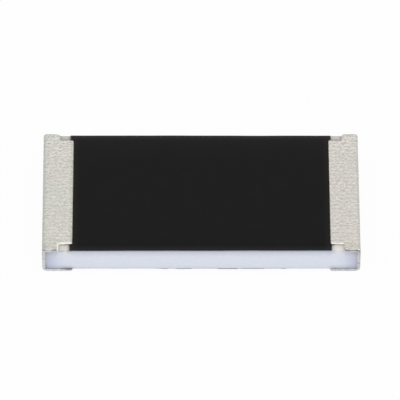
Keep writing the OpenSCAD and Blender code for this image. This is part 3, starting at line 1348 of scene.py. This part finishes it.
# painted shade along the walls and the edges of the notches
painted_shade = any_of(by_coat, by_bar, by_tongue, behind_tongue, all_of(by_edge, 0.5), back_edge)
notch = darken(notch, painted_shade, (0.62, 0.61, 0.60))
left_edge = all_of(left_end, (across, -1.545, -1.585), (height, 0.553, 0.561))
right_edge = all_of(right_end, (across, -1.550, -1.590))
front_edge = any_of(left_edge, all_of(right_edge, 0.8))
notch = darken(notch, front_edge, (0.80, 0.835, 0.88))
tell(tree, "notches")

# %% Put the deck on the plate and close the ceramic's tree
deck = blend("MIX", fade(far_x, 2.60, 2.64), shaded_strip, notch)
over_edge = all_of(under_notch, (height, 0.480, 0.545))
on_deck = any_of((height, 0.552, 0.560), all_of(over_edge, 0.75))
body = blend("MIX", on_deck, body, deck)
plug(body, shader.inputs["Base Color"])
plug(span(grit, 0.2, 0.8, 0.62, 0.75), shader.inputs["Roughness"])
shader.inputs["Specular IOR Level"].default_value = 0.3
bump(shader, grit, 0.0015)
wear([plate], alumina)

# %% [markdown]
# ### The layers inside
#
# The film, its glass and the silver and nickel under the tin don't show, but each of them is a real layer
# in the frame and gets a finish of its own. They differ in colour, grain and gloss only, so one helper
# makes them all.

# %% Finishes of the hidden layers
# For each finish: a part of its nodes' names, its colour, grains to a millimetre, metal and roughness
HIDDEN = {
    "resistor_film": ("resistive_element", (0.022, 0.035, 0.030), 20.0, 0.0, 0.55),
    "passivation_glass": ("glass_passivation", (0.10, 0.16, 0.10), 8.0, 0.0, 0.18),
    "printed_silver": ("_electrode_", (0.70, 0.68, 0.63), 26.0, 1.0, 0.5),
    "end_silver": ("end_electrode", (0.62, 0.60, 0.56), 18.0, 1.0, 0.55),
    "nickel": ("nickel_barrier", (0.50, 0.47, 0.42), 22.0, 1.0, 0.38),
}
for name, (part, colour, grains, metal, rough) in HIDDEN.items():
    finish, tree, shader = new_finish(name + "_finish")
    fine = noise(place_in_mm(tree), grains, detail=3.0, rough=0.55)
    plug(ramp(fine, two_tones(colour, 0.85, 1.12)), shader.inputs["Base Color"])
    plug(span(fine, 0.2, 0.8, rough - 0.06, rough + 0.06), shader.inputs["Roughness"])
    shader.inputs["Metallic"].default_value = metal
    bump(shader, fine, 0.001)
    wearers = [node for node_name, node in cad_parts.items() if part in node_name]
    if part == "_electrode_":
        wearers = [node for node in wearers if not node.name.startswith("end_")]
    wear(wearers, finish)

# %% [markdown]
# ## Floor, light and camera
#
# The chip lies on white paper. The paper shows as plain white to the camera and to the tin, which mirrors
# it, but it still takes the chip's shadow. More light on it would also bleach the chip. So the paper
# glows for those rays only, with a small share of its lit colour left in, and stays plain paper for all
# others.

# %% Floor
FLOOR_SIZE = 3.0
PAPER = (0.92, 0.92, 0.92, 1.0)
PLAIN_WHITE = (1.0, 1.0, 1.0, 1.0)
LIT_SHARE = 0.065


def seen_by_eye(tree):
    """A mask for the camera's rays, and for those that carry on from tin or glass."""
    rays = tree.nodes.new("ShaderNodeLightPath")
    kinds = ("Is Camera Ray", "Is Glossy Ray", "Is Transmission Ray")
    return any_of(*(rays.outputs[kind] for kind in kinds))


let_go()
bpy.ops.mesh.primitive_plane_add(size=FLOOR_SIZE, location=(0, 0, 0))
floor = bpy.context.object
floor.name = "paper"
paper = bpy.data.materials.new("white_paper")
paper.use_nodes = True
tree = paper.node_tree
tree.nodes.clear()
out = tree.nodes.new("ShaderNodeOutputMaterial")
matt = tree.nodes.new("ShaderNodeBsdfDiffuse")
matt.inputs["Color"].default_value = PAPER
glow = tree.nodes.new("ShaderNodeEmission")
glow.inputs["Color"].default_value = PLAIN_WHITE
glow.inputs["Strength"].default_value = 1.0  # as bright as plain white
shown = tree.nodes.new("ShaderNodeMixShader")
shown.inputs["Fac"].default_value = LIT_SHARE
plug(glow.outputs["Emission"], shown.inputs[1])
plug(matt.outputs["BSDF"], shown.inputs[2])
choice = tree.nodes.new("ShaderNodeMixShader")
plug(seen_by_eye(tree), choice.inputs["Fac"])
plug(matt.outputs["BSDF"], choice.inputs[1])
plug(shown.outputs["Shader"], choice.inputs[2])
plug(choice.outputs["Shader"], out.inputs["Surface"])
wear([floor], paper)
print("floor", [round(v, 2) for v in floor.dimensions], "m")

# %% [markdown]
# ### World
#
# Light from all round, as in a white tent, keeps the shadows soft. The same rays see it as plain white.

# %% World
WORLD_LEVEL = 0.80
world = bpy.data.worlds.new("even_white")
bpy.context.scene.world = world
world.use_nodes = True
tree = world.node_tree
tree.nodes.clear()
out = tree.nodes.new("ShaderNodeOutputWorld")
sky = tree.nodes.new("ShaderNodeBackground")
sky.inputs["Color"].default_value = PLAIN_WHITE
level = span(seen_by_eye(tree), 0.0, 1.0, WORLD_LEVEL, 1.0)
plug(level, sky.inputs["Strength"])
plug(sky.outputs["Background"], out.inputs["Surface"])
print("world at", WORLD_LEVEL)

# %% [markdown]
# ### Lamps
#
# An even world alone would look flat. A warm lamp a little above the camera makes the edges that face it
# shine, and a low, cool lamp in front lights the long face of the ceramic. Both are wide, so that their
# light is soft.

# %% Lamps
LAMPS = {
    # name: turn to the right and rise above the table in degrees, distance, width and height in metres,
    # watts, colour
    "key_lamp": (0, 58, 0.30, 0.13, 0.13, 0.12, (1.0, 0.985, 0.955)),
    "front_lamp": (0, 12, 0.35, 0.25, 0.25, 0.155, (0.87, 0.93, 1.0)),
}
for name, (turn, rise, distance, width, tall, watts, colour) in LAMPS.items():
    turn = math.radians(turn)
    rise = math.radians(rise)
    flat = math.cos(rise)
    lamp_from = Vector((math.sin(turn) * flat, -math.cos(turn) * flat, math.sin(rise)))
    bpy.ops.object.light_add(type="AREA", location=lamp_from * distance)
    lamp = bpy.context.object
    lamp.name = name
    lamp.data.shape = "RECTANGLE"
    lamp.data.size = width
    lamp.data.size_y = tall
    lamp.data.energy = watts
    lamp.data.color = colour
    lamp.rotation_euler = lamp_from.to_track_quat("Z", "Y").to_euler()
    print(name, watts, "W at", distance, "m")

# %% [markdown]
# ### Camera
#
# The picture was taken from far away with a long lens, about 47 degrees above the table and in line with
# the chip to within half a degree. These numbers were fitted to the chip's outline in the picture.

# %% Camera
CAMERA_RISE = math.radians(46.667)
CAMERA_TURN = math.radians(-0.4857)
CAMERA_ROLL = math.radians(0.3495)
CAMERA_DISTANCE = 0.141634
CAMERA_LENS = 634.475
AIM_RIGHT = -0.0000192
AIM_UP = 0.0000411
target = Vector((0, 0, TOP_Z / 2 / BENCH))
turn = Matrix.Rotation(CAMERA_TURN, 3, "Z")
right = turn @ Vector((1, 0, 0))
up = turn @ Vector((0, math.sin(CAMERA_RISE), math.cos(CAMERA_RISE)))
back = turn @ Vector((0, -math.cos(CAMERA_RISE), math.sin(CAMERA_RISE)))
rolled_right = math.cos(CAMERA_ROLL) * right + math.sin(CAMERA_ROLL) * up
rolled_up = math.cos(CAMERA_ROLL) * up - math.sin(CAMERA_ROLL) * right
stand = target + back * CAMERA_DISTANCE + rolled_right * AIM_RIGHT + rolled_up * AIM_UP
pose = Matrix((rolled_right, rolled_up, back)).transposed()
bpy.ops.object.camera_add(location=stand, rotation=pose.to_euler())
camera = bpy.context.object
camera.name = "camera"
camera.data.lens = CAMERA_LENS
camera.data.sensor_width = 36.0
camera.data.clip_start = 0.01
bpy.context.scene.camera = camera
bpy.context.scene.view_settings.view_transform = "Standard"
print("camera at", [round(v, 4) for v in stand])
